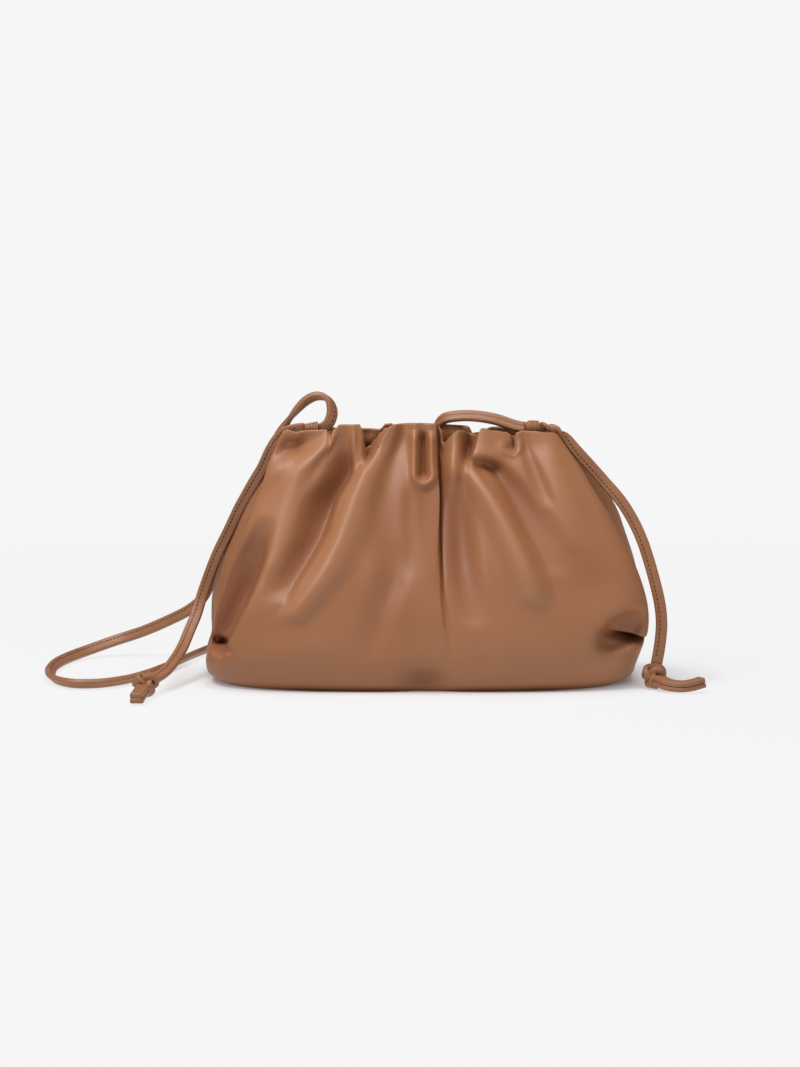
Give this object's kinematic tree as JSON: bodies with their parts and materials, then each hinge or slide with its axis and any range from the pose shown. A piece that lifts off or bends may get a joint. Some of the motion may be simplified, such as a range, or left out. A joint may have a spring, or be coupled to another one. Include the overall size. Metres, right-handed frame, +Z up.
{
  "type": "cloud pouch bag",
  "caption": "Soft gathered leather pouch bag with a pleated open mouth and a thin knotted shoulder strap, standing on its base.",
  "frame": {"origin": "on the surface that the bag stands on, under the middle of the pouch", "axes": "+X along the mouth to the right as seen from the front, -Y out of the front, +Z up"},
  "size_m": [0.347, 0.2068, 0.15],
  "materials": {
    "pouch_leather": "smooth satin calf leather, caramel brown",
    "strap_leather": "folded and stitched satin calf leather, caramel brown"
  },
  "bodies": {
    "root": {"pouch_body": "pouch_leather", "shoulder_strap": "strap_leather", "strap_tail_left": "strap_leather", "strap_tail_right": "strap_leather", "strap_hitch_left": "strap_leather", "strap_hitch_right": "strap_leather", "end_knot_left": "strap_leather", "end_knot_right": "strap_leather"}
  },
  "joints": []
}
